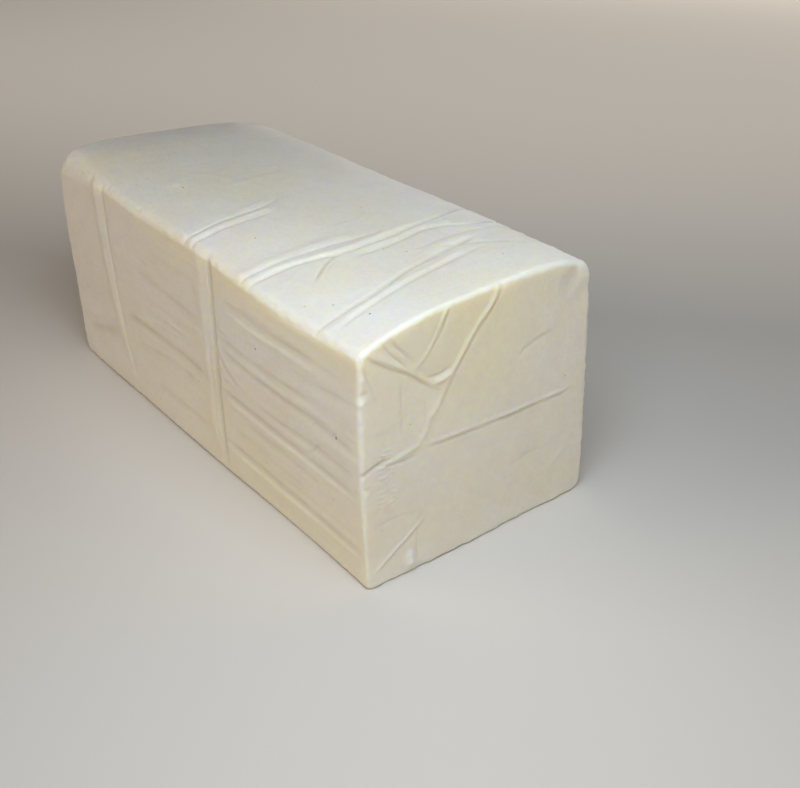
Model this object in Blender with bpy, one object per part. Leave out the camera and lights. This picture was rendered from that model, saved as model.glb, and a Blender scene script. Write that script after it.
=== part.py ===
"""A loaf of garlic cheddar, bare of its vacuum film.

The loaf is one closed body: a long block with a crowned top, crisp edges at the near end and
soft ones at the far end. The film has left its folds in the cheese: pairs of creases across the
top, two ribs down each side, shallow lines along the sides and a fan of fold marks on the ends.

+X runs along the loaf to its near end, -Y is the ribbed side and the origin is the middle of the
footprint. All sizes below are millimetres; the finished mesh is in metres.
"""

import bmesh
import bpy
import numpy as np
from mathutils import Matrix, Vector, noise

MM = 0.001

# The block before its edges are rounded.
X_FAR = -126.5
X_NEAR = 124.6
Y_LEFT = -54.9
Y_RIGHT = 55.0
BLOCK_HEIGHT = 100.7

# Height of the two long top edges, as (x, z) points, and of the crown between them.
LEFT_EDGE = ((-128, 106.0), (-95, 105.0), (-55, 102.2), (-10, 102.3), (12, 102.6),
             (38, 100.7), (70, 98.9), (90, 98.6), (110, 99.4), (126, 100.3))
RIGHT_EDGE = ((-128, 94.4), (-105, 97.8), (-60, 100.0), (0, 100.8), (30, 101.6), (126, 102.6))
CROWN_NEAR = 7.4
CROWN_FAR = 3.8
CROWN_REACH = 54.0
CROWN_POWER_LEFT = 3.0
CROWN_POWER_RIGHT = 4.5

# Edge radii.
R_TOP_LEFT = 3.4
R_TOP_LEFT_FAR = 10.5
R_TOP_RIGHT = 5.0
R_BOTTOM_LEFT = 2.2
R_BOTTOM_RIGHT = 4.0
R_NEAR_LEFT = 2.3
R_NEAR_RIGHT = 3.0
R_NEAR_BOTTOM = 1.8
R_FAR_SIDE = 9.0
R_FAR_TOP = 9.0
R_FAR_BOTTOM = 8.0
R_FAR_CORNER_EXTRA = 2.5

# Where, as shares of the half height, half width or half length, one radius turns into the next.
TOP_LEFT_TURN = (-0.45, -1.0)
FAR_TURN = (0.6, 0.97)
NEAR_TURN = (0.3, 1.0)
NEAR_LOW_TURN = (0.0, 0.8)
CORNER_TURN = (0.5, 1.0)

# How far each face swells at its middle, and where the swell begins along X and across Y.
BULGE_NEAR = 0.6
BULGE_FAR = 1.0
BULGE_LEFT = 1.25
BULGE_RIGHT = 1.2
BULGE_FROM_X = 60.0
BULGE_FROM_Y = 20.0
BULGE_POWER = 2.5

# Slow unevenness of the faces, as (wavelength, height).
SWELLS = ((62.0, 0.55), (23.0, 0.22))

# How far the lower edges stray outwards: the left one as (x, outwards) points, the others by a
# wave of this length and height. It dies away up the side over the fade height.
LOWER_LEFT_STRAY = ((-128, 0.4), (-90, 0.9), (-60, 0.6), (-20, 0.7), (20, 0.4), (60, -0.4),
                    (95, -0.5), (126, 0.0))
STRAY_WAVE = 34.0
STRAY_HEIGHT = 0.8
STRAY_FADE = 45.0

# Swells and folds die away towards the base between these two heights.
BASE_CLEAR = (0.5, 5.5)

# Mesh: lines of the fine net along X, Y and Z, how much they crowd towards the edges, the number
# of triangles kept, and the height below which a point belongs to the flat base.
NET_LINES = (256, 112, 106)
NET_CROWDING = 0.2
TRIANGLES = 9800
FLAT_BAND = 0.12

# Fold marks. Each has its face, its height (a groove is negative), its half width and the
# points it runs through: (x, y) on the top, (x, z) on a side and (y, z) on an end.
FOLDS = (
    # Top, first pair of creases, with the ridge held between them.
    ("top", -0.55, 0.9, ((4.3, -52), (5.6, -30), (4.4, -17), (0, -7), (-6, 1))),
    ("top", 0.50, 1.2, ((7.6, -52), (8.6, -39), (9.3, -28), (9.3, -19), (7.5, -12))),
    ("top", -0.55, 0.8, ((10.2, -52), (11.3, -41), (12.8, -29), (13.6, -19))),
    # Top, the large group: two grooves that meet the left edge, two that reach the right one.
    ("top", 0.40, 2.0, ((45, -52), (48.5, -36), (51, -19), (53.5, -5))),
    ("top", -0.60, 0.9, ((47.7, -52), (50.2, -39), (53, -27), (56, -9), (56.8, 4))),
    ("top", 0.65, 1.4, ((50.3, -52), (53.6, -39), (57.2, -28), (60, -17), (60.2, 0), (59.6, 22))),
    ("top", -0.85, 0.9, ((53.2, -52), (56, -39), (60.2, -26), (63.2, -14), (63.4, 8),
                         (60.6, 31), (53.4, 52))),
    ("top", 0.45, 1.2, ((66, -12), (66.3, 5), (65, 24))),
    ("top", -0.75, 0.9, ((69.1, -15), (69.9, 0), (67.7, 20), (72.6, 32), (74.4, 42), (72, 53))),
    ("top", -0.45, 0.9, ((63.4, -20), (66, -28), (69.3, -33), (73.5, -37))),
    # Top, the near crease.
    ("top", -0.80, 0.9, ((97.5, -52), (98, -36), (94.5, -18), (90.2, 1), (87.4, 18), (85, 30))),
    ("top", 0.55, 1.5, ((101.8, -50), (101, -33), (97.7, -13), (94, 9), (92, 20))),
    ("top", 0.35, 1.6, ((84.5, 6), (83, 22), (83.5, 38))),
    # Left side: a soft rib, then a sharper one with a fine line on it.
    ("left", 0.60, 3.2, ((-81, 94), (-77.5, 70), (-71, 42), (-64.5, 16), (-61, 1))),
    ("left", -0.55, 0.9, ((-73.2, 96), (-71, 71), (-66.5, 41), (-62, 17), (-59.5, 4))),
    ("left", 0.60, 3.0, ((13.5, 98), (13.8, 60), (13.2, 30), (14, 3))),
    ("left", -0.35, 0.7, ((17, 96), (17.4, 60), (16.6, 30), (17.2, 6))),
    ("left", -0.80, 1.0, ((22.7, 97), (23.5, 76), (22.8, 52), (21.7, 28), (22.7, 3))),
    # Left side: shallow lines along the loaf.
    ("left", -0.25, 1.2, ((36, 86), (68, 86.4), (101, 85.6))),
    ("left", -0.25, 1.2, ((24, 67.6), (70, 68.3), (121, 68))),
    ("left", -0.40, 1.2, ((24, 42.2), (70, 42.8), (121, 42.4))),
    ("left", 0.25, 1.8, ((24, 39.6), (70, 40.2), (121, 39.8))),
    ("left", -0.35, 1.2, ((24, 17), (70, 17.6), (121, 17.2))),
    ("left", 0.20, 1.8, ((24, 14.6), (70, 15.2), (121, 14.8))),
    ("left", -0.25, 1.2, ((-60, 44.5), (-25, 43.4), (16, 42))),
    # Near end: the long diagonal fold, the fan of short folds that meets it, the cross line.
    ("near", 0.90, 1.7, ((12, 107), (5, 101), (-6, 86), (-16, 72), (-22, 65), (-31, 54))),
    ("near", -0.60, 1.0, ((-51, 97), (-44, 92), (-32, 85), (-24, 79), (-17, 73.5))),
    ("near", 0.50, 1.1, ((-45, 94.5), (-33, 87.2), (-25, 81.4), (-18, 76))),
    ("near", -0.50, 0.8, ((-44, 100.5), (-38, 91), (-31.5, 84.5))),
    ("near", -0.50, 0.8, ((-40, 100), (-35.5, 94.5), (-28.5, 86.5))),
    ("near", 0.55, 1.0, ((-15.5, 104), (-21, 94.7), (-30.5, 85.7))),
    ("near", -0.45, 0.9, ((-29, 83), (-22, 80.2), (-14, 79.6))),
    ("near", 0.60, 1.1, ((-54, 52.8), (-42, 54.2), (-30, 55.4), (-13, 54), (6, 53.6), (40, 53))),
    ("near", -0.65, 1.0, ((-54, 50), (-45, 52), (-31, 52.6), (-13, 51.8), (6, 51.3), (40, 51))),
    ("near", 0.50, 1.0, ((-51, 6.5), (-41, 13), (-31, 20), (-26, 22.5))),
    # Right side: the two creases that come over the edge, and lines along the loaf.
    ("right", -0.60, 1.0, ((53, 97), (50, 70), (54, 36), (51, 4))),
    ("right", 0.45, 2.4, ((61, 97), (58, 66), (61, 30), (59, 4))),
    ("right", -0.55, 1.0, ((72, 97), (74, 62), (69, 34), (71, 4))),
    ("right", -0.50, 1.0, ((-64, 96), (-58, 60), (-61, 30), (-55, 4))),
    ("right", 0.45, 2.6, ((-57, 96), (-51, 60), (-54, 30), (-48, 4))),
    ("right", -0.45, 1.2, ((-44, 61), (0, 62.4), (46, 60.6))),
    ("right", -0.40, 1.2, ((-40, 29), (4, 30.2), (47, 28.4))),
    ("right", -0.40, 1.2, ((76, 45), (98, 46.2), (118, 44.6))),
    # Far end: a fan of folds like the near one, seen from the other side.
    ("far", 0.80, 1.8, ((-14, 100), (-2, 84), (9, 68), (22, 52), (30, 40))),
    ("far", -0.60, 1.0, ((44, 92), (32, 84), (20, 76), (11, 70))),
    ("far", -0.50, 0.9, ((36, 96), (27, 86), (18, 77))),
    ("far", -0.55, 1.1, ((-44, 50), (-14, 51.6), (14, 50.4), (44, 51.4))),
    ("far", 0.45, 1.1, ((44, 11), (32, 19), (23, 25))),
)

# A fold dies away over FOLD_FADE at its ends, is walked in steps of FOLD_STEP and is felt out to
# FOLD_REACH half widths. It takes hold of points that face its side within FOLD_GRIP, a range of
# the cosine.
FOLD_FADE = 7.0
FOLD_STEP = 1.2
FOLD_REACH = 3.2
FOLD_GRIP = (0.3, 0.8)

# Two nicks in the near left upright edge and dents under the near right top corner, each as
# its middle (x, y, z), its radius and its depth.
DENTS = (
    ((124, -55, 85), 2.2, 0.6),
    ((124, -55, 43), 2.0, 0.5),
    ((125, 44, 98), 5.0, 0.9),
    ((124, 51, 92), 4.0, 0.8),
)

# The faces that folds lie on: the axes that measure across the face, and its outward normal.
FACES = {
    "top": ((0, 1), (0, 0, 1)),
    "left": ((0, 2), (0, -1, 0)),
    "right": ((0, 2), (0, 1, 0)),
    "near": ((1, 2), (1, 0, 0)),
    "far": ((1, 2), (-1, 0, 0)),
}

CHEESE_COLOUR = (0.72, 0.66, 0.52, 1.0)
CHEESE_ROUGHNESS = 0.45


def rise(low, high, value):
    """Go smoothly from 0 at low to 1 at high."""
    t = np.clip((value - low) / (high - low), 0.0, 1.0)
    return t * t * (3.0 - 2.0 * t)


def mix(first, second, share):
    """Blend two values."""
    return first + (second - first) * share


def through(points, at):
    """Read the smooth curve that passes through (place, value) points."""
    place, value = np.array(points, dtype=float).T
    slope = np.gradient(value, place)
    i = np.clip(np.searchsorted(place, at) - 1, 0, len(place) - 2)
    span = place[i + 1] - place[i]
    t = np.clip((at - place[i]) / span, 0.0, 1.0)
    start = (1.0 + 2.0 * t) * (1.0 - t) ** 2 * value[i] + t * (1.0 - t) ** 2 * span * slope[i]
    end = t * t * (3.0 - 2.0 * t) * value[i + 1] - t * t * (1.0 - t) * span * slope[i + 1]
    return start + end


def net_object(name):
    """Make a closed cube of six square nets, two units wide, whose lines match at its edges."""
    bm = bmesh.new()
    for axis in range(3):
        across = [k for k in range(3) if k != axis]
        for side in (1.0, -1.0):
            columns = [Vector((0, 0, 0)) for _ in range(4)]
            columns[0][across[0]] = 1.0
            columns[1][across[1]] = 1.0
            columns[2][axis] = 1.0
            columns[3][axis] = side
            place = Matrix([list(c) + [0] for c in columns[:3]] + [[0, 0, 0, 1]]).transposed()
            place.translation = columns[3]
            bmesh.ops.create_grid(bm, x_segments=NET_LINES[across[0]],
                                  y_segments=NET_LINES[across[1]], size=1.0, matrix=place)
    bmesh.ops.remove_doubles(bm, verts=bm.verts, dist=1e-4)
    bmesh.ops.recalc_face_normals(bm, faces=bm.faces)
    mesh = bpy.data.meshes.new(name)
    bm.to_mesh(mesh)
    bm.free()
    net = bpy.data.objects.new(name, mesh)
    bpy.context.collection.objects.link(net)
    return net


def read_points(mesh, attribute):
    """Read a vector of every vertex into one array."""
    flat = np.empty(len(mesh.vertices) * 3, dtype=np.float32)
    mesh.vertices.foreach_get(attribute, flat)
    return flat.reshape(-1, 3).astype(float)


def write_points(mesh, points):
    """Move every vertex."""
    mesh.vertices.foreach_set("co", points.astype(np.float32).ravel())
    mesh.update()


def round_corner(a, b, far_a, far_b, radius):
    """Pull points near the corner (far_a, far_b) of a quadrant onto an arc of this radius."""
    centre_a = np.minimum(a, far_a - radius)
    centre_b = np.minimum(b, far_b - radius)
    corner = (a > far_a - radius) & (b > far_b - radius)
    reach = np.maximum(np.hypot(a - centre_a, b - centre_b), 1e-9)
    pull = np.where(corner, radius / reach, 1.0)
    return centre_a + (a - centre_a) * pull, centre_b + (b - centre_b) * pull


def rounded_block(unit):
    """Turn the unit cube into the block with all its edges rounded, its base at zero."""
    half = np.array([X_NEAR - X_FAR, Y_RIGHT - Y_LEFT, BLOCK_HEIGHT]) / 2
    middle = np.array([(X_NEAR + X_FAR) / 2, (Y_RIGHT + Y_LEFT) / 2, half[2]])

    # Each point lies on a ring round the X axis; ring is 1 on the sides and falls on the ends.
    ring = np.maximum(np.abs(unit[:, 1:]).max(axis=1), 1e-6)
    y = unit[:, 1] * half[1] / ring
    z = unit[:, 2] * half[2] / ring
    top_left = mix(R_TOP_LEFT, R_TOP_LEFT_FAR, rise(*TOP_LEFT_TURN, unit[:, 0]))
    radius = np.where(z > 0, np.where(y < 0, top_left, R_TOP_RIGHT),
                      np.where(y < 0, R_BOTTOM_LEFT, R_BOTTOM_RIGHT))
    y_size, z_size = round_corner(np.abs(y), np.abs(z), half[1], half[2], radius)
    y = np.sign(y) * y_size
    z = np.sign(z) * z_size

    # The end edges: how far in from the outline a point lies, against its place along X.
    wide = np.where(np.abs(unit[:, 1]) >= np.abs(unit[:, 2]), half[1], half[2])
    inset = (ring - 1.0) * wide
    high, low = z / half[2], -z / half[2]
    near = mix(R_NEAR_LEFT, R_NEAR_RIGHT, rise(*NEAR_TURN, y / half[1]))
    near = mix(near, R_NEAR_BOTTOM, rise(*NEAR_LOW_TURN, low))
    far = mix(R_FAR_SIDE, R_FAR_TOP, rise(*FAR_TURN, high))
    far = mix(far, R_FAR_BOTTOM, rise(*FAR_TURN, low))
    far += R_FAR_CORNER_EXTRA * rise(*CORNER_TURN, -y / half[1]) * rise(*CORNER_TURN, high)
    x = unit[:, 0] * half[0]
    shift = half.max() * 2
    x_size, inset = round_corner(np.abs(x), inset + shift, half[0], shift,
                                 np.where(x > 0, near, far))
    scale = 1.0 + (inset - shift) / wide
    return np.stack([np.sign(x) * x_size, y * scale, z * scale], axis=1) + middle


def shaped(block):
    """Give the block its uneven top, its crown and the swell of its faces."""
    x, y, z = block.T
    across = np.clip(y / CROWN_REACH, -1.0, 1.0)
    power = np.where(across < 0, CROWN_POWER_LEFT, CROWN_POWER_RIGHT)
    along = (x - X_FAR) / (X_NEAR - X_FAR)
    crown = mix(CROWN_FAR, CROWN_NEAR, along) * (1.0 - np.abs(across) ** power)
    top = mix(through(LEFT_EDGE, x), through(RIGHT_EDGE, x), (across + 1.0) / 2) + crown

    level = z / BLOCK_HEIGHT
    belly = 4.0 * level * (1.0 - level)
    dome = 1.0 - np.abs(across) ** BULGE_POWER
    end_swell = (belly + dome) / 2
    new_x = (x + BULGE_NEAR * rise(BULGE_FROM_X, X_NEAR, x) * end_swell
             - BULGE_FAR * rise(-BULGE_FROM_X, X_FAR, x) * end_swell)
    new_y = (y - BULGE_LEFT * belly * rise(BULGE_FROM_Y, Y_LEFT, y)
             + BULGE_RIGHT * belly * rise(-BULGE_FROM_Y, Y_RIGHT, y) * 4 * along * (1 - along))
    return np.stack([new_x, new_y, level * top], axis=1)


def uneven(points, normals):
    """Add slow swells to every face and let the lower edges stray."""
    lift = np.array([sum(size * noise.noise(Vector(p) / wave) for wave, size in SWELLS)
                     for p in points])
    stray = np.array([noise.noise(Vector((p[0], p[1], 0.0)) / STRAY_WAVE) for p in points])
    stray = np.where(normals[:, 1] < -0.5, through(LOWER_LEFT_STRAY, points[:, 0]),
                     STRAY_HEIGHT * stray)
    sideways = stray * (1.0 - rise(0.0, STRAY_FADE, points[:, 2]))
    push = normals * (lift * rise(*BASE_CLEAR, points[:, 2]))[:, None]
    push[:, :2] += normals[:, :2] * sideways[:, None]
    return points + push


def smooth_route(points):
    """Sample the smooth curve through a fold's points at even steps."""
    points = np.array(points, dtype=float)
    steps = np.hypot(*np.diff(points, axis=0).T)
    place = np.concatenate([[0.0], np.cumsum(steps)])
    at = np.linspace(0.0, place[-1], max(3, int(place[-1] / FOLD_STEP)))
    return np.stack([through(np.stack([place, points[:, k]], axis=1), at) for k in (0, 1)], axis=1)


def fold_height(across, height, half_width, points):
    """Height that one fold adds at each point of its face."""
    route = smooth_route(points)
    nearest = np.full(len(across), 1e9)
    place = np.zeros(len(across))
    walked = 0.0
    for start, end in zip(route[:-1], route[1:]):
        way = end - start
        length = np.hypot(*way)
        share = np.clip((across - start) @ way / length ** 2, 0.0, 1.0)
        gap = np.hypot(*(across - start - share[:, None] * way).T)
        closer = gap < nearest
        nearest = np.where(closer, gap, nearest)
        place = np.where(closer, walked + share * length, place)
        walked += length
    fade = rise(0.0, FOLD_FADE, place) * rise(0.0, FOLD_FADE, walked - place)
    return height * np.exp(-(nearest / half_width) ** 2) * fade


def folded(points, normals):
    """Press the film's folds into the faces."""
    lift = np.zeros(len(points))
    for face, height, half_width, route in FOLDS:
        axes, outward = FACES[face]
        grip = rise(*FOLD_GRIP, normals @ np.array(outward, dtype=float))
        across = points[:, axes]
        reach = FOLD_REACH * half_width
        low = np.min(route, axis=0) - reach
        high = np.max(route, axis=0) + reach
        close = (grip > 0) & np.all((across > low) & (across < high), axis=1)
        lift[close] += grip[close] * fold_height(across[close], height, half_width, route)
    return points + normals * (lift * rise(*BASE_CLEAR, points[:, 2]))[:, None]


def dented(points, normals):
    """Press in the nicks and dents."""
    depth = np.zeros(len(points))
    for middle, radius, deep in DENTS:
        gap = np.linalg.norm(points - middle, axis=1)
        depth += deep * np.exp(-(gap / radius) ** 2)
    return points - normals * depth[:, None]


def centred(points):
    """Put the middle of the footprint at the origin."""
    low, high = points.min(axis=0), points.max(axis=0)
    return points - [(low[0] + high[0]) / 2, (low[1] + high[1]) / 2, 0.0]


def thinned(source, triangles):
    """Keep only the triangles that the folds and edges need, and flatten and centre the base."""
    source.data.calc_loop_triangles()
    thin = source.modifiers.new("Thin", "DECIMATE")
    thin.ratio = triangles / len(source.data.loop_triangles)
    thin.use_collapse_triangulate = True
    evaluated = source.evaluated_get(bpy.context.evaluated_depsgraph_get())
    mesh = bpy.data.meshes.new_from_object(evaluated)
    source.modifiers.clear()
    points = read_points(mesh, "co")
    points[points[:, 2] < FLAT_BAND * MM, 2] = 0.0
    write_points(mesh, centred(points))
    return mesh


def cheese_material():
    """Ivory cheddar with the slight shine of a freshly unwrapped face."""
    material = bpy.data.materials.new("ivory_cheddar")
    material.use_nodes = True
    shader = material.node_tree.nodes["Principled BSDF"]
    shader.inputs["Base Color"].default_value = CHEESE_COLOUR
    shader.inputs["Roughness"].default_value = CHEESE_ROUGHNESS
    shader.inputs["Metallic"].default_value = 0.0
    material.diffuse_color = CHEESE_COLOUR
    return material


def make_loaf():
    """Make the whole loaf as one closed body."""
    loaf = net_object("cheese_loaf")
    unit = read_points(loaf.data, "co")
    unit = mix(unit, np.sin(unit * np.pi / 2), NET_CROWDING)
    points = shaped(rounded_block(unit))
    for press in (uneven, folded, dented):
        write_points(loaf.data, points)
        points = press(points, read_points(loaf.data, "normal"))
    write_points(loaf.data, points * MM)
    bpy.context.view_layer.update()
    fine = loaf.data
    loaf.data = thinned(loaf, TRIANGLES)
    bpy.data.meshes.remove(fine)
    loaf.data.name = "cheese_loaf"
    loaf.data.materials.append(cheese_material())
    loaf.data.shade_smooth()
    return loaf


def main():
    """Clear the scene and build the loaf."""
    for old in list(bpy.data.objects):
        bpy.data.objects.remove(old, do_unlink=True)
    make_loaf()


main()
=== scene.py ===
"""Looks of a garlic cheddar loaf, laid out as a Blender add-on and run as a script.

The loaf is one mesh piece on the CAD body "root". It stands for the CAD node cheese_loaf: the
same rounded block on a much finer net, with every fold that the vacuum film pressed into it, the
fine wrinkles between them, nicks and dents. Sizes in the shape tables are millimetres, in the
loaf's own layout: +X to the near end, -Y the ribbed side. The finished mesh is in metres and
is fitted to the CAD box.
"""

import math

import bmesh
import bpy
import numpy as np
from bpy.props import FloatProperty, FloatVectorProperty, PointerProperty
from mathutils import Matrix, Vector, noise


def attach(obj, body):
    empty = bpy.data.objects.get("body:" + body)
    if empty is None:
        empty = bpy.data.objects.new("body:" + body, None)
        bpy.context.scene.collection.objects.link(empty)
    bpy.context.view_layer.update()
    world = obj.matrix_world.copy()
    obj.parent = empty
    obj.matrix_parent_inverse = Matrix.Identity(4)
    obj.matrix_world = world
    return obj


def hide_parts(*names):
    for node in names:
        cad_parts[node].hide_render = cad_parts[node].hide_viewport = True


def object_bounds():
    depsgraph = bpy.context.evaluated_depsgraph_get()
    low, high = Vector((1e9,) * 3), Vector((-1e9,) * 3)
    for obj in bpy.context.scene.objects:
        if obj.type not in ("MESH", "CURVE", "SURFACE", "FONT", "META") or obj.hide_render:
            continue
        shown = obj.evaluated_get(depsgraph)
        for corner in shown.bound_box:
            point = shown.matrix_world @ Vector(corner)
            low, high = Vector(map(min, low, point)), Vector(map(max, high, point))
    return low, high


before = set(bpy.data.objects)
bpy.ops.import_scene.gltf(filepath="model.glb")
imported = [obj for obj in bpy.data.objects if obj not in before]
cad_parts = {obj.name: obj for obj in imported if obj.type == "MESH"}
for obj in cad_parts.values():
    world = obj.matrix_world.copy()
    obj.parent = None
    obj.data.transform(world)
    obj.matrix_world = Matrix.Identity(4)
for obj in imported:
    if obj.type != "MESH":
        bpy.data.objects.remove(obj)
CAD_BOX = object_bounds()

bl_info = {
    "name": "Garlic cheddar loaf",
    "version": (1, 0, 0),
    "blender": (4, 5, 0),
    "location": "3D View > Sidebar > Cheddar",
    "description": "Builds a loaf of garlic cheddar with the folds of its vacuum film",
    "category": "Add Mesh",
}

MM = 0.001
NODE = "cheese_loaf"

# The block before its edges are rounded.
X_FAR = -126.5
X_NEAR = 124.6
Y_LEFT = -54.9
Y_RIGHT = 55.0
BLOCK_HEIGHT = 100.7

# Height of the two long top edges, as (x, z) points.
LEFT_EDGE = ((-128, 106.0), (-95, 105.0), (-55, 102.2), (-10, 102.3), (12, 102.6),
             (38, 100.7), (70, 98.9), (90, 98.6), (110, 99.4), (126, 100.3))
RIGHT_EDGE = ((-128, 94.4), (-105, 97.8), (-60, 100.0), (0, 100.8), (30, 101.6), (126, 102.6))
CROWN_REACH = 54.0
CROWN_POWER_LEFT = 3.0
CROWN_POWER_RIGHT = 4.5

# Edge radii, and where one turns into the next as shares of the half height or half width.
R_TOP_LEFT = 3.4
R_TOP_LEFT_FAR = 10.5
R_TOP_RIGHT = 5.0
R_BOTTOM_LEFT = 2.2
R_BOTTOM_RIGHT = 4.0
R_NEAR_LEFT = 2.3
R_NEAR_RIGHT = 3.0
R_NEAR_BOTTOM = 1.8
R_FAR_SIDE = 9.0
R_FAR_TOP = 9.0
R_FAR_BOTTOM = 8.0
R_FAR_CORNER_EXTRA = 2.5
FAR_TURN = (0.6, 0.97)
NEAR_TURN = (0.3, 1.0)
NEAR_LOW_TURN = (0.0, 0.8)
CORNER_TURN = (0.5, 1.0)
TOP_LEFT_TURN = (-0.45, -1.0)

# How far each face swells at its middle, and where the swell begins along X and across Y.
BULGE_NEAR = 0.6
BULGE_FAR = 1.0
BULGE_LEFT = 1.25
BULGE_RIGHT = 1.2
BULGE_FROM_X = 60.0
BULGE_FROM_Y = 20.0
BULGE_POWER = 2.5

# Slow unevenness of the faces, as (wavelength, height), and how far the lower edges stray: the
# left one as (x, outwards) points, the others by a wave. The straying dies away up the side
# over STRAY_FADE. Swells, folds and wrinkles die away towards the base within BASE_CLEAR.
SWELLS = ((62.0, 0.55), (23.0, 0.22))
LOWER_LEFT_STRAY = ((-128, 0.4), (-90, 0.9), (-60, 0.6), (-20, 0.7), (20, 0.4), (60, -0.4),
                    (95, -0.5), (126, 0.0))
STRAY_WAVE = 34.0
STRAY_HEIGHT = 0.8
STRAY_FADE = 45.0
BASE_CLEAR = (0.5, 5.5)

# Mesh: lines of the net along X, Y and Z, how much they crowd towards the edges, the number of
# triangles kept, and the height below which a point belongs to the flat base.
NET_LINES = (440, 210, 200)
NET_CROWDING = 0.12
TRIANGLES = 190000
FLAT_BAND = 0.06

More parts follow.
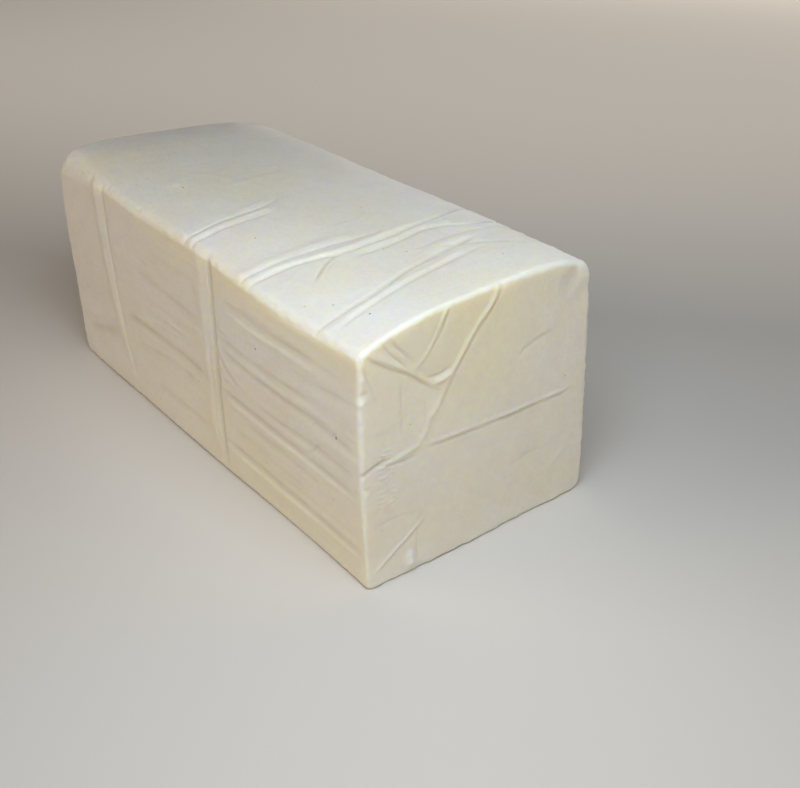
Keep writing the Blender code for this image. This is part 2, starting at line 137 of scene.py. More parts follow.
# Fold marks. Each has its height (a groove is negative), its half width and the points it runs
# through: (x, y) on the top, (x, z) on a side and (y, z) on an end. Where a fold is steep on one
# hand and long on the other, its half width is given for the left and the right of its run.
FOLDS = {
    "top": (
        # The first pair of creases, with the ridge held between them.
        (-0.62, 0.65, ((2.6, -62), (4.3, -53), (5.2, -39), (5.8, -28), (5.0, -18),
                       (2.4, -10), (-1.6, -4))),
        (0.22, 1.6, ((1.6, -34), (1.8, -22), (-1, -12), (-5, -4))),
        (0.44, 1.4, ((6.4, -62), (7.6, -53), (8.6, -39), (9.3, -28), (9.3, -19), (7.5, -11))),
        (-0.60, 0.65, ((8.6, -62), (10.2, -53), (11.3, -41), (12.8, -29), (13.8, -17))),
        # The large group: two grooves that meet the left edge, two that reach the right one.
        (0.46, 2.6, ((43, -62), (46, -47), (48.5, -34), (50.5, -19), (53, -2))),
        (-0.46, 0.7, ((44.6, -62), (47.7, -53), (50.2, -39), (53, -27), (54.6, -17), (56, -9),
                      (56.8, 6))),
        (0.56, 1.7, ((47.4, -62), (50.3, -53), (53.6, -39), (57.2, -28), (60, -17), (60.2, 0),
                     (59.6, 24))),
        (-0.98, 0.75, ((50, -62), (53.2, -53), (56, -39), (60.2, -26), (63.0, -18),
                       (63.5, -7), (63.2, 8), (61.6, 22), (60.4, 32), (58, 40), (52, 58))),
        (0.36, 1.3, ((66, -14), (66.3, 5), (65, 18), (66.4, 28))),
        (-0.75, 0.75, ((68.6, -19), (70, -4), (69.5, 6), (67.8, 18), (68.8, 25), (72.7, 32),
                       (74.4, 40), (73.6, 47), (71, 58))),
        (0.22, 2.2, ((71.5, 20), (76, 30), (78.5, 40), (78, 56))),
        (-0.50, 0.8, ((62, -17), (65, -27), (69.3, -33), (74, -38.5))),
        (-0.25, 0.6, ((66.5, -20), (68, -27), (71.5, -31))),
        (0.20, 1.1, ((60.8, -33), (62.4, -39), (65.5, -46))),
        # The near crease and the faint ones that run with it.
        (-0.95, (1.0, 0.85), ((96.4, -62), (97.5, -53), (98.2, -41), (97.2, -30), (94.5, -18),
                      (91.6, -8), (90.2, 1), (88.8, 9), (87.4, 18), (85, 34))),
        (0.42, 1.9, ((102, -60), (102.4, -50), (101, -33), (97.7, -13), (95.6, 0), (94, 9),
                     (92, 24))),
        (-0.48, 1.1, ((104.8, -52), (103.2, -33), (100, -14), (97.6, 2), (96, 16), (95, 30))),
        (0.24, 2.0, ((84.5, 0), (83.4, 22), (85, 38), (86, 54))),
        (-0.30, 1.0, ((80.2, 2), (79.2, 22), (81, 40), (82, 56))),
        (-0.36, 1.0, ((83, 10), (88.2, 20), (94.6, 32), (100, 38.5), (107, 44))),
        (0.22, 2.2, ((102, -2), (101.5, 16), (104, 34), (106, 54))),
        # Faint cross wrinkles towards the far end.
        (0.14, 1.6, ((-26, -17), (-27, 0), (-26.5, 12), (-28, 26))),
        (-0.12, 1.0, ((-30, -16), (-30.6, 0), (-30, 18))),
        (0.10, 1.8, ((-38, 2), (-36, 20), (-38, 40))),
        (-0.10, 1.6, ((-101, 20), (-90, 12), (-77, 3), (-70, -4))),
        (0.10, 2.0, ((-50, -16), (-30, -9.5), (-12, -4))),
        (-0.08, 1.4, ((8, 9), (26, 12), (44, 8))),
        (-0.12, 0.9, ((39, -14), (40.4, 2), (38.6, 14))),
    ),
    "left": (
        # A soft rib, then a sharper one with a fine line on it.
        (0.70, (4.0, 3.0), ((-82, 112), (-80.5, 97), (-77.5, 70), (-74, 54), (-67.5, 28),
                            (-61, 1))),
        (-0.46, 1.0, ((-74, 112), (-73.2, 97), (-72.3, 82), (-71, 71), (-68.2, 51), (-64, 27),
                      (-59.5, 1))),
        (0.66, (3.2, 4.4), ((15, 108), (15.3, 98), (15.6, 60), (15, 30), (15.6, 1))),
        (-0.40, 0.8, ((18, 66), (18, 46), (17.2, 26), (17.8, 2))),
        (-0.95, (1.6, 1.2), ((22.2, 108), (22.9, 98), (23.6, 77), (23.2, 54), (21.8, 37),
                              (21.8, 21), (22.7, 1))),
        # Lines along the loaf: a shallow groove, long below, with a soft ridge under it.
        (-0.26, (1.4, 3.0), ((30, 86.8), (44, 85.6), (60, 85.2), (78, 85.8), (100, 86))),
        (0.24, (1.2, 2.4), ((34, 82.8), (52, 81.6), (76, 82), (98, 82))),
        (-0.26, (0.9, 1.8), ((22, 69.4), (36, 68), (54, 67.6), (76, 68), (98, 69.6))),
        (-0.34, (1.0, 2.2), ((23, 64), (38, 62.2), (54, 61.2), (76, 61.2), (96, 61.8),
                             (112, 60.8), (124, 60))),
        (0.22, (0.9, 1.8), ((50, 64.6), (74, 64), (96, 65.4), (116, 64))),
        (-0.34, (1.0, 2.0), ((52, 48.6), (70, 48.8), (92, 50.2), (122, 49.6))),
        (-0.34, 0.7, ((22.6, 64), (26, 58.4), (32, 53), (41, 48.4))),
        (0.24, 0.9, ((23.4, 68), (30, 59.4), (38, 53.6), (49, 50.4))),
        (-0.26, 0.6, ((22.6, 56), (27, 50.2), (34, 46.8))),
        (-0.22, 0.7, ((22.6, 77), (28, 71.8), (36, 69.6))),
        (-0.46, (1.1, 2.4), ((20, 43), (40, 42.8), (60, 42.6), (94, 42.2), (125, 41.8))),
        (0.40, (0.9, 2.4), ((26, 40), (44, 39.8), (66, 39.6), (96, 39.4), (124, 38.8))),
        (-0.30, (1.0, 2.4), ((42, 35), (70, 34.8), (100, 34))),
        (-0.48, (1.1, 2.4), ((20, 18.2), (40, 17.6), (60, 17.2), (94, 16.8), (125, 16.6))),
        (0.40, (1.0, 3.0), ((24, 14.2), (44, 13.8), (66, 13.4), (96, 13), (124, 12.8))),
        (-0.20, (1.2, 2.4), ((30, 27), (60, 26), (92, 25.4))),
        (-0.22, (1.0, 2.2), ((80, 77), (98, 77), (118, 79.6))),
        # The softer marks between the two ribs.
        (-0.32, (1.8, 2.4), ((-48, 71.4), (-26, 70.6), (-8, 69.4), (16, 68.6))),
        (-0.62, (1.3, 2.6), ((-62, 44.4), (-50, 45.2), (-36, 45.2), (-20, 45), (-4, 44.6),
                             (16, 42.8))),
        (0.22, 1.2, ((-54, 46.6), (-40, 49), (-26, 52.2), (-12, 55))),
        (0.26, 0.7, ((-22, 56), (-17, 56.9), (-10, 56.7), (-4, 55.6))),
        (0.14, 0.8, ((-22, 52.4), (-8, 53.2), (8, 52.4))),
        (0.24, 0.6, ((-7, 51.2), (-3, 48.6), (3, 46))),
        (-0.24, (1.4, 2.8), ((-56, 32), (-36, 35), (-18, 36.6), (8, 35.8))),
        (-0.24, (1.1, 2.6), ((-40, 18), (-16, 17.6), (16, 17.2))),
        (-0.10, 1.2, ((-54, 90), (-40, 80), (-30, 73))),
        (-0.18, 0.7, ((-2, 39.6), (3, 38.6), (6, 36))),
        (-0.22, 0.7, ((86, 42.6), (93, 47), (99, 52.6), (104, 53))),
        # The low step left of the soft rib.
        (-0.35, 2.6, ((-112, 18), (-88, 25), (-70, 31))),
        (0.20, 2.6, ((-112, 27), (-90, 32), (-73, 38))),
    ),
    "near": (
        # The long diagonal fold, and its faint lower end.
        (0.55, 0.9, ((9, 111), (2.6, 101.1), (-1.5, 97), (-6.2, 91.7), (-10.4, 86.2),
                     (-14, 81.5), (-16.6, 77.7), (-18.8, 74.2), (-21.4, 70))),
        (-0.34, 0.7, ((10, 109), (4.4, 100), (-4.4, 90.4), (-12.4, 80.2), (-17.4, 72.6),
                      (-21.4, 66))),
        (0.42, 1.2, ((-18.6, 74.4), (-20.8, 70.8), (-23.8, 67), (-27, 62), (-31, 55.6))),
        # The fan of short folds that meets it: a step, two grooves and a thin ridge.
        (0.42, (1.1, 0.55), ((-53, 101), (-49, 98), (-45.2, 95.6), (-39.4, 91.3), (-35.4, 88.6),
                             (-32.2, 86.2), (-27.4, 82), (-23.9, 79), (-18.6, 75.6))),
        (-0.45, (0.5, 1.0), ((-54, 99.6), (-48.5, 95.8), (-43.6, 92.2), (-39.5, 89.5),
                             (-35.2, 87), (-33, 85.2), (-30.1, 82.6), (-25.7, 78.6),
                             (-18.4, 73.8))),
        (-0.44, (0.5, 0.9), ((-46.4, 104), (-43.8, 99.7), (-41.4, 96.2), (-38.1, 92.7),
                             (-35.2, 89.3), (-33.4, 87))),
        (0.24, 0.6, ((-44.6, 99.6), (-40.6, 94.4), (-37.7, 91.2), (-34.6, 88.4))),
        (-0.40, (0.5, 0.9), ((-42.4, 104), (-39.2, 98.9), (-36.3, 95.6), (-33.4, 92.2),
                             (-30.6, 88.8))),
        (0.20, 0.6, ((-41.6, 100), (-38, 95.8), (-35.1, 92.6), (-32, 89.2))),
        (0.48, 0.6, ((-15.6, 109), (-17.5, 105.5), (-19.3, 102.6), (-21.1, 99.7), (-23.3, 96),
                     (-25.5, 92.6), (-27.8, 90.2), (-30.9, 88.2), (-33.4, 86))),
        (-0.34, 0.45, ((-15, 107), (-17.8, 101.4), (-20, 97.3), (-22.3, 94.2), (-25.2, 90.6))),
        (-0.20, 0.45, ((-19, 106), (-22, 99.4), (-24.4, 95.8), (-27, 91.6))),
        (0.20, 0.9, ((-31.6, 87.6), (-29, 89.4), (-26, 90.6))),
        # The bright wedge beside the diagonal.
        (0.80, (0.9, 1.2), ((-24.5, 79.2), (-20.5, 79.3), (-17.5, 79.8), (-13.6, 81.4))),
        (-0.40, 0.5, ((-28, 82.4), (-23.0, 81.6), (-19.4, 81.7), (-14.4, 83.4))),
        (-0.34, 0.6, ((-23.6, 78.2), (-18.2, 76.6))),
        # The cross line: a step on the left, then a ridge over a groove.
        (-0.62, (0.6, 0.9), ((-60, 51), (-53.2, 53.4), (-49.2, 54.8), (-43, 56))),
        (0.50, 0.9, ((-49, 53), (-44, 54), (-40, 54.6), (-36, 55.2), (-29, 56.2))),
        (-0.46, 0.6, ((-47, 53.2), (-41, 52.4), (-35.6, 51.9), (-30.6, 53.4))),
        (0.46, 0.6, ((-32, 55.8), (-24.6, 55.2), (-18.2, 54.7), (-10.6, 54.3), (-2, 53.9),
                     (10, 53.4), (48, 52.6))),
        (-0.44, 0.6, ((-30, 53.6), (-21, 53), (-12, 52.5), (-2, 52.1), (10, 51.6), (48, 50.8))),
        (0.45, 0.7, ((-32, 54.6), (-28.6, 58.4), (-25.6, 62))),
        # The low diagonal ridge and faint marks round it.
        (0.56, 0.6, ((-54.4, 5.4), (-47, 10.8), (-42, 14), (-37, 17.4), (-32, 20.6), (-27, 24))),
        (-0.40, 0.5, ((-51.4, 5.8), (-42.2, 12.2), (-32, 19), (-27, 22.4))),
        (-0.24, 0.45, ((-38, 86), (-38, 74), (-37.8, 60))),
        (-0.26, 0.45, ((-31.8, 22), (-32, 12), (-31.6, 2))),
        (0.20, 0.6, ((-30.6, 21), (-30.6, 12), (-30.4, 2))),
        (-0.12, 0.5, ((-27.2, 77), (-27.4, 66), (-27, 55))),
        (-0.26, 0.5, ((-54, 97.5), (-52, 91.2), (-50.2, 85.6), (-48, 78))),
        (-0.20, 0.7, ((-54, 27.4), (-44, 28.3), (-37, 28), (-30, 25))),
        (-0.16, 0.8, ((-52, 66), (-46, 67), (-40, 66))),
        (0.14, 1.2, ((-30, 64), (-24, 66.5), (-17, 68))),
        # Faint marks on the right part.
        (-0.25, 0.9, ((16, 76), (27, 80), (38, 81))),
        (0.28, 1.1, ((30, 14), (38, 21), (47, 26))),
        (-0.20, 0.8, ((12, 28), (24, 30), (40, 29))),
    ),
    "right": (
        # The two creases that come over the top edge, a far rib and lines along the loaf.
        (-0.50, 0.9, ((53, 107), (52, 92), (50, 70), (54, 36), (51, 1))),
        (0.40, 2.6, ((61, 107), (60, 92), (58, 66), (61, 30), (59, 1))),
        (-0.45, 0.9, ((72, 107), (73, 90), (74, 62), (69, 34), (71, 1))),
        (-0.42, 0.9, ((-65, 107), (-62, 88), (-58, 60), (-61, 30), (-55, 1))),
        (0.40, 2.8, ((-58, 107), (-55, 88), (-51, 60), (-54, 30), (-48, 1))),
        (-0.30, (0.8, 2.8), ((-46, 61), (-14, 62.6), (16, 61.8), (48, 60.6))),
        (-0.28, (0.8, 2.6), ((-42, 29), (4, 30.2), (49, 28.4))),
        (-0.20, (0.8, 2.0), ((-38, 82), (2, 80.6), (42, 82.2))),
        (-0.26, (0.8, 2.4), ((74, 45), (98, 46.2), (120, 44.6))),
        (-0.20, (0.8, 2.0), ((74, 20), (96, 19), (120, 20.4))),
        (-0.18, (0.8, 2.0), ((76, 72), (96, 73.4), (118, 72))),
        (-0.18, 0.9, ((-114, 66), (-90, 64), (-66, 66.4))),
        (-0.18, 0.9, ((-114, 34), (-92, 36), (-64, 33.6))),
        (0.18, 1.0, ((-20, 44), (-6, 48), (6, 46))),
    ),
    "far": (
        # A fan of folds like the near one, seen from the other side.
        (0.60, 1.3, ((-20, 107), (-2, 84), (9, 68), (22, 52), (34, 36))),
        (-0.34, 0.9, ((-12, 98), (4, 78), (16, 62), (28, 47))),
        (-0.50, (0.9, 0.6), ((48, 95), (32, 84), (20, 76), (10, 69))),
        (0.30, 0.9, ((46, 96), (31, 87), (18, 78))),
        (-0.42, 0.7, ((38, 99), (27, 86), (17, 76))),
        (-0.34, 0.7, ((43, 99), (31, 88), (23, 81))),
        (-0.45, 0.8, ((-48, 50), (-14, 51.6), (14, 50.4), (48, 51.4))),
        (0.34, 0.9, ((-46, 52.6), (-14, 54), (14, 53), (46, 53.8))),
        (0.40, 0.9, ((47, 9), (32, 19), (21, 26))),
        (-0.22, 0.8, ((-44, 24), (-24, 27), (-6, 25))),
        (-0.20, 0.8, ((-40, 80), (-38, 68), (-39, 56))),
    ),
}

# A fold dies away at its ends over FOLD_FADE plus this share of its length, is walked in steps
# of FOLD_STEP and is felt out to FOLD_REACH half widths. It takes hold of points that face its
# side within FOLD_GRIP, a range of the cosine. Its height wavers along its run by FOLD_WAVER
# over FOLD_WAVER_WAVE. Each SHIFT moves a noise clear of the others.
FOLD_FADE = 3.0
FOLD_FADE_SHARE = 0.12
FOLD_STEP = 1.0
FOLD_REACH = 3.0
FOLD_GRIP = (0.3, 0.8)
FOLD_WAVER = 0.7
FOLD_WAVER_WAVE = 8.0
FOLD_SHIFT = 0.37

# The faces that folds lie on: the axes that measure across the face, and its outward normal.
FACES = {
    "top": ((0, 1), (0, 0, 1)),
    "left": ((0, 2), (0, -1, 0)),
    "right": ((0, 2), (0, 1, 0)),
    "near": ((1, 2), (1, 0, 0)),
    "far": ((1, 2), (-1, 0, 0)),
}

# Fine wrinkles of the film: face, wavelengths along X, Y and Z, height, and the stretch of the
# face that they cover as (low u, high u, low v, high v), or None for all of it.
WRINKLES = (
    ("left", (60, 20, 3.6), 0.15, None),
    ("left", (18, 20, 2.2), 0.10, None),
    ("left", (3.4, 20, 5.0), 0.07, None),
    ("right", (70, 20, 3.6), 0.10, None),
    ("right", (26, 20, 1.9), 0.06, None),
    ("top", (3.4, 16, 20), 0.06, (-112, -30, -54, 4)),
    ("top", (20, 60, 20), 0.14, None),
    ("top", (5.0, 9.0, 20), 0.09, None),
    ("top", (2.6, 3.2, 20), 0.05, None),
    ("near", (20, 6.0, 7.0), 0.15, None),
    ("near", (20, 3.0, 2.6), 0.09, None),
    ("near", (20, 2.6, 2.4), 0.10, (-54, -20, 20, 74)),
    ("far", (20, 7.0, 6.0), 0.13, None),
)
WRINKLE_EDGE = 9.0
WRINKLE_SHIFT = 0.71

# The small rough patch on the near end, ripples of whey fat under the film: its stretch along Y
# and Z, the step from one ripple to the next, how far they wander, and where they break.
PATCH = (-51.5, -39.5, 33, 63)
PATCH_EDGE = 5.0
PATCH_STEP = 2.0
PATCH_WANDER = 1.6
PATCH_WANDER_WAVES = (5.0, 5.0, 8.0)
PATCH_WANDER_SHIFT = 0.13
PATCH_BREAK = (-0.35, 0.1)
PATCH_BREAK_WAVES = (2.8, 2.8, 3.4)
PATCH_BREAK_SHIFT = 0.41
PATCH_HEIGHT = 0.45
# Painted highlight on the ripples of the patch.
PATCH_HIGHLIGHT = 0.2

# Edges are slightly ragged: wavelength, height, and the cosine range that counts as an edge. The
# skirt is the rougher foot of the near end: its height, wavelengths and how far it stands out.
# Both die away towards the base within RAGGED_CLEAR.
RAGGED_WAVE = 2.8
RAGGED_HEIGHT = 0.28
RAGGED_RANGE = (0.985, 0.85)
RAGGED_SHIFT = 0.53
SKIRT_HEIGHT = 5.0
SKIRT_WAVES = (4.2, 4.2, 9.0)
SKIRT_OUT = 0.6
SKIRT_SHIFT = 0.29
RAGGED_CLEAR = (0.0, 1.0)

# Painted light: where along X the painted highlight on the edges of the near end begins, the
# strength of the painted highlight on the long edges and where it begins, how far the painted
# highlight on a small lump reaches, in its radii, and how much painted light the skirt gets
# and up to what height.
PAINTED_LIGHT_NEAR = (113.0, 121.0)
PAINTED_LIGHT_LONG = 0.5
PAINTED_LIGHT_LONG_FROM = (36.0, 70.0)
LUMP_HIGHLIGHT = 0.9
SKIRT_PAINTED_LIGHT = 0.35
SKIRT_PAINTED_LIGHT_HEIGHT = 12.0

# Creamy colour and painted light: on the left side, a painted glow of light shining through
# just under its top edge and a painted warm bounce towards its base, as (depth under its top
# edge, strength), and where along X it begins; on the near end, a painted glow that grows
# towards its top, by height and as (y, strength) points across it; and creamy patches of real
# colour on the top as (x, y), radius and strength.
SIDE_GLOW_AND_BOUNCE = ((0, 0.15), (3, 0.7), (8, 0.45), (14, 0.2), (50, 0.15), (90, 0.5))
SIDE_GLOW_FROM = (-110.0, 60.0)
END_GLOW_Z = (36.0, 102.0)
END_GLOW_Y = ((-60, 0.3), (-40, 0.45), (-14, 0.7), (8, 0.7), (30, 0.15), (60, 0.0))
CREAM_PATCHES = (
    ((-25, -6), 26.0, 0.45),
    ((75, -30), 12.0, 0.40),
    ((115, 5), 11.0, 0.35),
    ((-95, -40), 14.0, 0.40),
)

# Nicks, dents and small lumps, each as its middle (x, y, z), its radius and its depth; a lump
# has a negative depth.
DENTS = (
    ((125.3, -53.8, 84.6), 1.3, 1.1),
    ((124.7, -55, 81.6), 1.3, -0.35),
    ((125.2, -54.2, 46), 1.2, 0.6),
    ((125, -54.6, 43.6), 1.2, -0.3),
    ((125, 44, 98), 5.0, 0.9),
    ((124, 51, 92), 4.0, 0.8),
    ((125, 47, 104), 3.0, 0.5),
    ((125.5, -35.6, 9.0), 1.6, -1.3),
    ((125.5, -35.6, 5.6), 2.0, -1.8),
    ((124.5, 8, 107.5), 2.0, 0.5),
    ((109, -56, 62), 1.0, 0.7),
    ((56, -56, 75), 1.3, 0.4),
    ((67, 29, 107.5), 1.8, -0.35),
    ((-45, -31, 107), 2.5, -0.25),
)

# Bits of garlic and herb that show at the surface: face, (u, v) and radius. FLECK_BLUR gives
# where one begins and where it is full, in its radii.
FLECKS = (
    ("top", (41, -1), 0.30), ("top", (79.5, 0), 0.35), ("top", (71.5, -5), 0.40),
    ("top", (28, -36), 0.35), ("top", (107.5, -38), 0.45), ("top", (91, -42), 0.35),
    ("top", (-8, -19), 0.30), ("top", (-40, -31), 0.40), ("top", (106, 25), 0.30),
    ("left", (109, 61), 0.60), ("left", (109.6, 63), 0.40), ("left", (56, 75), 0.50),
    ("left", (4, 37), 0.30), ("near", (-34, 66), 0.25),
)
FLECK_BLUR = (1.25, 0.55)

# Depth of fold at which the painted shade in the grooves is full.
GROOVE_SHADE_FULL = 0.6

# Camera: place in millimetres, the turn of its view in degrees, and its sensor and lens in
# millimetres.
CAMERA_PLACE = (410.7, -249.0, 290.9)
CAMERA_AZIMUTH = 53.477
CAMERA_ELEVATION = 30.710
CAMERA_ROLL = -1.303
SENSOR_WIDTH = 36.0
LENS = 53.66

FLOOR_SIZE = 8.0
SKY_COLOUR = "#FBFBFB"

# Soft lamps: name, place, the point each is aimed at, width and height, all in metres, and
# colour. The wash faces away from the loaf and lights the floor behind it.
LAMPS = (
    ("key", (0.25, -0.11, 0.38), (0.11, -0.03, 0.10), (0.28, 0.28), "#E1EFFF"),
    ("side", (-0.60, -1.15, 0.68), (0.0, 0.0, 0.05), (0.90, 0.90), "#FFE5CC"),
    ("front", (0.90, -0.10, 0.27), (0.10, 0.0, 0.05), (0.50, 0.34), "#FFD9A0"),
    ("back", (-0.45, 1.00, 0.12), (0.0, 0.0, 0.10), (1.60, 0.20), "#FFF4E8"),
    ("wash", (-0.08, 0.10, 0.75), (-0.68, 0.90, 0.75), (2.20, 0.60), "#FFFFFF"),
)


# ---------------------------------------------------------------- numbers and colours

def linear(code):
    """Turn an sRGB hex colour into linear red, green and blue."""
    shares = [int(code[i:i + 2], 16) / 255 for i in (1, 3, 5)]
    return tuple(c / 12.92 if c <= 0.04045 else ((c + 0.055) / 1.055) ** 2.4 for c in shares)


def per_metre(size_mm):
    """Texture scale that repeats once in this many millimetres."""
    return 1.0 / (size_mm * MM)


def rise(low, high, value):
    """Go smoothly from 0 at low to 1 at high."""
    t = np.clip((value - low) / (high - low), 0.0, 1.0)
    return t * t * (3.0 - 2.0 * t)


def mix(first, second, share):
    """Blend two values."""
    return first + (second - first) * share


def through(points, at):
    """Read the smooth curve that passes through (place, value) points."""
    place, value = np.array(points, dtype=float).T
    slope = np.gradient(value, place)
    i = np.clip(np.searchsorted(place, at) - 1, 0, len(place) - 2)
    span = place[i + 1] - place[i]
    t = np.clip((at - place[i]) / span, 0.0, 1.0)
    start = (1.0 + 2.0 * t) * (1.0 - t) ** 2 * value[i] + t * (1.0 - t) ** 2 * span * slope[i]
    end = t * t * (3.0 - 2.0 * t) * value[i + 1] - t * t * (1.0 - t) * span * slope[i + 1]
    return start + end


def soft_noise(points, waves, shift=0.0):
    """Smooth noise from -1 to 1 at every point, with its wavelengths along X, Y and Z."""
    scaled = points / np.array(waves, dtype=float) + shift
    return np.fromiter(map(noise.noise, scaled.tolist()), float, len(scaled))


# ---------------------------------------------------------------- the loaf's shape

def net_mesh(name):
    """Make a closed cube of six square nets, two units wide, whose lines match at its edges."""
    bm = bmesh.new()
    for axis in range(3):
        across = [k for k in range(3) if k != axis]
        for side in (1.0, -1.0):
            place = Matrix.Identity(4)
            place.col[0] = [float(k == across[0]) for k in range(4)]
            place.col[1] = [float(k == across[1]) for k in range(4)]
            place.col[2] = [float(k == axis) for k in range(4)]
            place.translation[axis] = side
            bmesh.ops.create_grid(bm, x_segments=NET_LINES[across[0]],
                                  y_segments=NET_LINES[across[1]], size=1.0, matrix=place)
    bmesh.ops.remove_doubles(bm, verts=bm.verts, dist=1e-4)
    bmesh.ops.recalc_face_normals(bm, faces=bm.faces)
    mesh = bpy.data.meshes.new(name)
    bm.to_mesh(mesh)
    bm.free()
    return mesh


def read_points(mesh, attribute):
    """Read a vector of every vertex into one array."""
    flat = np.empty(len(mesh.vertices) * 3, dtype=np.float32)
    mesh.vertices.foreach_get(attribute, flat)
    return flat.reshape(-1, 3).astype(float)


def write_points(mesh, points):
    """Move every vertex."""
    mesh.vertices.foreach_set("co", points.astype(np.float32).ravel())
    mesh.update()


def write_shares(mesh, name, shares):
    """Store one number from 0 to 1 at every vertex, for the material to read."""
    layer = mesh.attributes.new(name, "FLOAT", "POINT")
    layer.data.foreach_set("value", np.clip(shares, 0.0, 1.0).astype(np.float32))


def round_corner(a, b, far_a, far_b, radius):
    """Pull points near the corner (far_a, far_b) of a quadrant onto an arc of this radius."""
    centre_a = np.minimum(a, far_a - radius)
    centre_b = np.minimum(b, far_b - radius)
    corner = (a > far_a - radius) & (b > far_b - radius)
    reach = np.maximum(np.hypot(a - centre_a, b - centre_b), 1e-9)
    pull = np.where(corner, radius / reach, 1.0)
    return centre_a + (a - centre_a) * pull, centre_b + (b - centre_b) * pull


def rounded_block(unit):
    """Turn the unit cube into the block with all its edges rounded, its base at zero."""
    half = np.array([X_NEAR - X_FAR, Y_RIGHT - Y_LEFT, BLOCK_HEIGHT]) / 2
    middle = np.array([(X_NEAR + X_FAR) / 2, (Y_RIGHT + Y_LEFT) / 2, half[2]])

    # Each point lies on a ring round the X axis; ring is 1 on the sides and falls on the ends.
    ring = np.maximum(np.abs(unit[:, 1:]).max(axis=1), 1e-6)
    y = unit[:, 1] * half[1] / ring
    z = unit[:, 2] * half[2] / ring
    top_left = mix(R_TOP_LEFT, R_TOP_LEFT_FAR, rise(*TOP_LEFT_TURN, unit[:, 0]))
    radius = np.where(z > 0, np.where(y < 0, top_left, R_TOP_RIGHT),
                      np.where(y < 0, R_BOTTOM_LEFT, R_BOTTOM_RIGHT))
    y_size, z_size = round_corner(np.abs(y), np.abs(z), half[1], half[2], radius)
    y = np.sign(y) * y_size
    z = np.sign(z) * z_size

    # The end edges: how far in from the outline a point lies, against its place along X.
    wide = np.where(np.abs(unit[:, 1]) >= np.abs(unit[:, 2]), half[1], half[2])
    inset = (ring - 1.0) * wide
    high, low = z / half[2], -z / half[2]
    near = mix(R_NEAR_LEFT, R_NEAR_RIGHT, rise(*NEAR_TURN, y / half[1]))
    near = mix(near, R_NEAR_BOTTOM, rise(*NEAR_LOW_TURN, low))
    far = mix(R_FAR_SIDE, R_FAR_TOP, rise(*FAR_TURN, high))
    far = mix(far, R_FAR_BOTTOM, rise(*FAR_TURN, low))
    far += R_FAR_CORNER_EXTRA * rise(*CORNER_TURN, -y / half[1]) * rise(*CORNER_TURN, high)
    x = unit[:, 0] * half[0]
    shift = half.max() * 2
    x_size, inset = round_corner(np.abs(x), inset + shift, half[0], shift,
                                 np.where(x > 0, near, far))
    scale = 1.0 + (inset - shift) / wide
    return np.stack([np.sign(x) * x_size, y * scale, z * scale], axis=1) + middle


def shaped(block, sizes):
    """Give the block its uneven top, its crown and the swell of its faces."""
    x, y, z = block.T
    across = np.clip(y / CROWN_REACH, -1.0, 1.0)
    power = np.where(across < 0, CROWN_POWER_LEFT, CROWN_POWER_RIGHT)
    along = (x - X_FAR) / (X_NEAR - X_FAR)
    crown = mix(sizes.crown_far, sizes.crown_near, along) / MM * (1.0 - np.abs(across) ** power)
    top = mix(through(LEFT_EDGE, x), through(RIGHT_EDGE, x), (across + 1.0) / 2) + crown

    level = z / BLOCK_HEIGHT
    belly = 4.0 * level * (1.0 - level)
    dome = 1.0 - np.abs(across) ** BULGE_POWER
    end_swell = (belly + dome) / 2
    new_x = (x + BULGE_NEAR * rise(BULGE_FROM_X, X_NEAR, x) * end_swell
             - BULGE_FAR * rise(-BULGE_FROM_X, X_FAR, x) * end_swell)
    new_y = (y - BULGE_LEFT * belly * rise(BULGE_FROM_Y, Y_LEFT, y)
             + BULGE_RIGHT * belly * rise(-BULGE_FROM_Y, Y_RIGHT, y) * 4 * along * (1 - along))
    return np.stack([new_x, new_y, level * top], axis=1)


def uneven(points, normals):
    """Add slow swells to every face and let the lower edges stray."""
    lift = sum(size * soft_noise(points, (wave,) * 3) for wave, size in SWELLS)
    level = points * [1.0, 1.0, 0.0]
    stray = np.where(normals[:, 1] < -0.5, through(LOWER_LEFT_STRAY, points[:, 0]),
                     STRAY_HEIGHT * soft_noise(level, (STRAY_WAVE,) * 3))
    sideways = stray * (1.0 - rise(0.0, STRAY_FADE, points[:, 2]))
    push = normals * (lift * rise(*BASE_CLEAR, points[:, 2]))[:, None]
    push[:, :2] += normals[:, :2] * sideways[:, None]
    return points + push


def smooth_route(points):
    """Sample the smooth curve through a fold's points at even steps."""
    points = np.array(points, dtype=float)
    steps = np.hypot(*np.diff(points, axis=0).T)
    place = np.concatenate([[0.0], np.cumsum(steps)])
    at = np.linspace(0.0, place[-1], max(3, int(place[-1] / FOLD_STEP)))
    return np.stack([through(np.stack([place, points[:, k]], axis=1), at) for k in (0, 1)], axis=1)


def fold_height(across, height, half_width, points):
    """Height that one fold adds at each point of its face."""
    route = smooth_route(points)
    nearest = np.full(len(across), 1e9)
    place = np.zeros(len(across))
    hand = np.zeros(len(across))
    walked = 0.0
    for start, end in zip(route[:-1], route[1:]):
        way = end - start
        length = np.hypot(*way)
        share = np.clip((across - start) @ way / length ** 2, 0.0, 1.0)
        away = across - start - share[:, None] * way
        gap = np.hypot(*away.T)
        closer = gap < nearest
        nearest = np.where(closer, gap, nearest)
        hand = np.where(closer, way[0] * away[:, 1] - way[1] * away[:, 0], hand)
        place = np.where(closer, walked + share * length, place)
        walked += length
    end = FOLD_FADE + FOLD_FADE_SHARE * walked
    fade = rise(0.0, end, place) * rise(0.0, end, walked - place)
    along = np.stack([place, np.full(len(place), route[0][0]), np.zeros(len(place))], axis=1)
    waver = 1.0 + FOLD_WAVER * soft_noise(along, (FOLD_WAVER_WAVE,) * 3, FOLD_SHIFT)
    spread = np.where(hand > 0, *np.broadcast_to(half_width, 2))
    return height * np.exp(-(nearest / spread) ** 2) * fade * waver


def facing(normals, face):
    """How squarely each point faces one side of the loaf."""
    return rise(*FOLD_GRIP, normals @ np.array(FACES[face][1], dtype=float))


